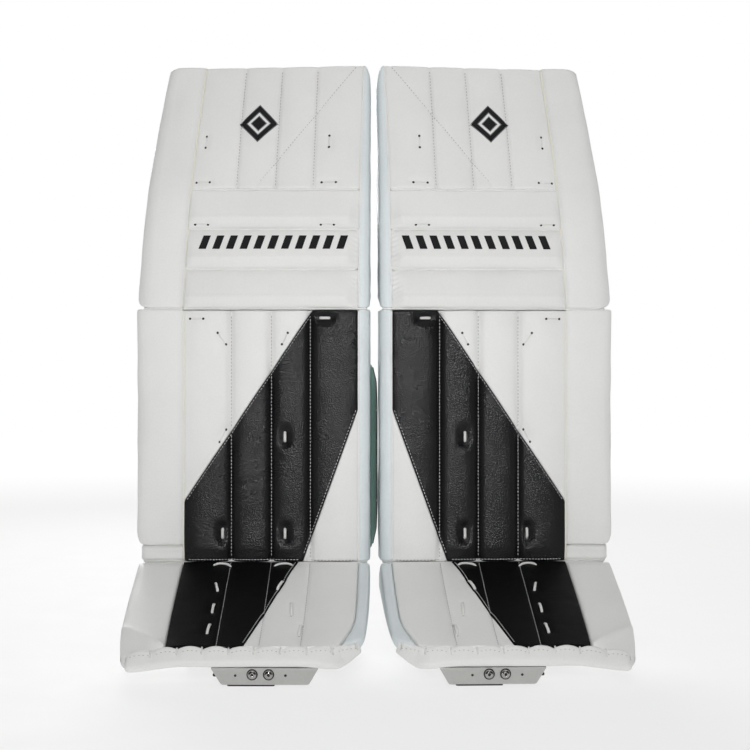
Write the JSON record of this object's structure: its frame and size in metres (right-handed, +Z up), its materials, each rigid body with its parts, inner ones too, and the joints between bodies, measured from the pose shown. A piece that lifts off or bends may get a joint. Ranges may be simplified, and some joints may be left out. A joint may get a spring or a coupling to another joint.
{
  "type": "goalie leg pads",
  "caption": "Pair of padded leg guards with knee rolls, hinged boot and thigh sections, outer wings, straps and a screwed toe bridge.",
  "frame": {"origin": "on the floor, under the centre of the standing pair", "axes": "+Z up along the shins, the pads face -Y, +X is the wearer's left"},
  "size_m": [0.5766, 0.3529, 0.7278],
  "materials": {
    "white_leather": "smooth synthetic leather, satin",
    "edge_leather": "smooth synthetic leather, cool white",
    "graphic_leather": "grained synthetic leather, satin black",
    "core_foam": "closed-cell foam",
    "lining_fabric": "woven nylon lining",
    "calf_fabric": "brushed lining",
    "bridge_plastic": "moulded plastic",
    "webbing": "woven webbing",
    "screw_metal": "polished",
    "lace_cord": "waxed lace"
  },
  "bodies": {
    "right_shin": {"right_shin_core": "core_foam", "right_shin_face": "graphic_leather", "right_shin_outer_roll": "white_leather", "right_shin_inner_gusset": "edge_leather", "right_shin_back_lining": "lining_fabric", "right_calf_block": "calf_fabric"},
    "right_thigh": {"right_thigh_core": "core_foam", "right_thigh_face": "white_leather", "right_knee_roll_lower": "white_leather", "right_knee_roll_middle": "white_leather", "right_knee_roll_upper": "white_leather", "right_thigh_outer_roll": "white_leather", "right_thigh_inner_gusset": "edge_leather", "right_knee_stack": "lining_fabric"},
    "right_boot": {"right_boot_face": "graphic_leather", "right_boot_core": "core_foam", "right_boot_outer_roll": "white_leather", "right_boot_inner_gusset": "edge_leather", "right_toe_lip": "white_leather", "right_boot_wedge_inner": "lining_fabric", "right_boot_wedge_outer": "lining_fabric", "right_toe_bridge": "bridge_plastic", "right_toe_bridge_screw_1": "screw_metal", "right_toe_bridge_screw_2": "screw_metal"},
    "right_calf_flap": {"right_calf_wing": "white_leather", "right_calf_strap": "webbing"},
    "right_knee_flap": {"right_knee_wing": "white_leather", "right_knee_strap": "webbing"},
    "right_boot_strap": {"right_boot_strap": "webbing"},
    "right_toe_loop": {"right_toe_loop": "webbing"},
    "left_shin": {"left_shin_core": "core_foam", "left_shin_face": "graphic_leather", "left_shin_outer_roll": "white_leather", "left_shin_inner_gusset": "edge_leather", "left_shin_back_lining": "lining_fabric", "left_calf_block": "calf_fabric"},
    "left_thigh": {"left_thigh_core": "core_foam", "left_thigh_face": "white_leather", "left_knee_roll_lower": "white_leather", "left_knee_roll_middle": "white_leather", "left_knee_roll_upper": "white_leather", "left_thigh_outer_roll": "white_leather", "left_thigh_inner_gusset": "edge_leather", "left_knee_stack": "lining_fabric"},
    "left_boot": {"left_boot_face": "graphic_leather", "left_boot_core": "core_foam", "left_boot_outer_roll": "white_leather", "left_boot_inner_gusset": "edge_leather", "left_toe_lip": "white_leather", "left_boot_wedge_inner": "lining_fabric", "left_boot_wedge_outer": "lining_fabric", "left_toe_bridge": "bridge_plastic", "left_toe_bridge_screw_1": "screw_metal", "left_toe_bridge_screw_2": "screw_metal"},
    "left_calf_flap": {"left_calf_wing": "white_leather", "left_calf_strap": "webbing"},
    "left_knee_flap": {"left_knee_wing": "white_leather", "left_knee_strap": "webbing"},
    "left_boot_strap": {"left_boot_strap": "webbing"},
    "left_toe_loop": {"left_toe_loop": "webbing"}
  },
  "joints": [
    {"name": "right_knee_break", "type": "hinge", "parent": "right_shin", "child": "right_thigh", "pos_m": [-0.1242, 0.03703, 0.421], "axis": [-1, 0.0087, 0], "range_deg": [-8, 12]},
    {"name": "right_boot_break", "type": "hinge", "parent": "right_shin", "child": "right_boot", "pos_m": [-0.1242, 0.03703, 0.116], "axis": [1, -0.0087, 0], "range_deg": [-8, 20]},
    {"name": "right_calf_wing_open", "type": "hinge", "parent": "right_shin", "child": "right_calf_flap", "pos_m": [-0.2676, 0.10628, 0.246], "axis": [0, 0, 1], "range_deg": [0, 95]},
    {"name": "right_knee_wing_open", "type": "hinge", "parent": "right_thigh", "child": "right_knee_flap", "pos_m": [-0.25739, 0.1302, 0.486], "axis": [0, 0, 1], "range_deg": [0, 95]},
    {"name": "right_boot_strap_open", "type": "hinge", "parent": "right_boot", "child": "right_boot_strap", "pos_m": [-0.21986, 0.09827, 0.037], "axis": [0, 0, 1], "range_deg": [0, 110]},
    {"name": "right_toe_loop_lift", "type": "hinge", "parent": "right_boot", "child": "right_toe_loop", "pos_m": [-0.11388, -0.15657, 0.0034], "axis": [1, -0.0087, 0], "range_deg": [0, 40]},
    {"name": "left_knee_break", "type": "hinge", "parent": "left_shin", "child": "left_thigh", "pos_m": [0.12425, 0.04197, 0.421], "axis": [-0.9987, -0.0506, 0], "range_deg": [-8, 12]},
    {"name": "left_boot_break", "type": "hinge", "parent": "left_shin", "child": "left_boot", "pos_m": [0.12425, 0.04197, 0.116], "axis": [0.9987, 0.0506, 0], "range_deg": [-8, 20]},
    {"name": "left_calf_wing_open", "type": "hinge", "parent": "left_shin", "child": "left_calf_flap", "pos_m": [0.26462, 0.11717, 0.246], "axis": [0, 0, -1], "range_deg": [0, 95]},
    {"name": "left_knee_wing_open", "type": "hinge", "parent": "left_thigh", "child": "left_knee_flap", "pos_m": [0.25342, 0.14063, 0.486], "axis": [0, 0, -1], "range_deg": [0, 95]},
    {"name": "left_boot_strap_open", "type": "hinge", "parent": "left_boot", "child": "left_boot_strap", "pos_m": [0.21727, 0.10716, 0.037], "axis": [0, 0, -1], "range_deg": [0, 110]},
    {"name": "left_toe_loop_lift", "type": "hinge", "parent": "left_boot", "child": "left_toe_loop", "pos_m": [0.12205, -0.15189, 0.0034], "axis": [0.9987, 0.0506, 0], "range_deg": [0, 40]},
    {"name": "pair_spread", "type": "slide", "parent": "right_shin", "child": "left_shin", "axis": [1, 0, 0], "range_m": [0, 0.3]}
  ]
}
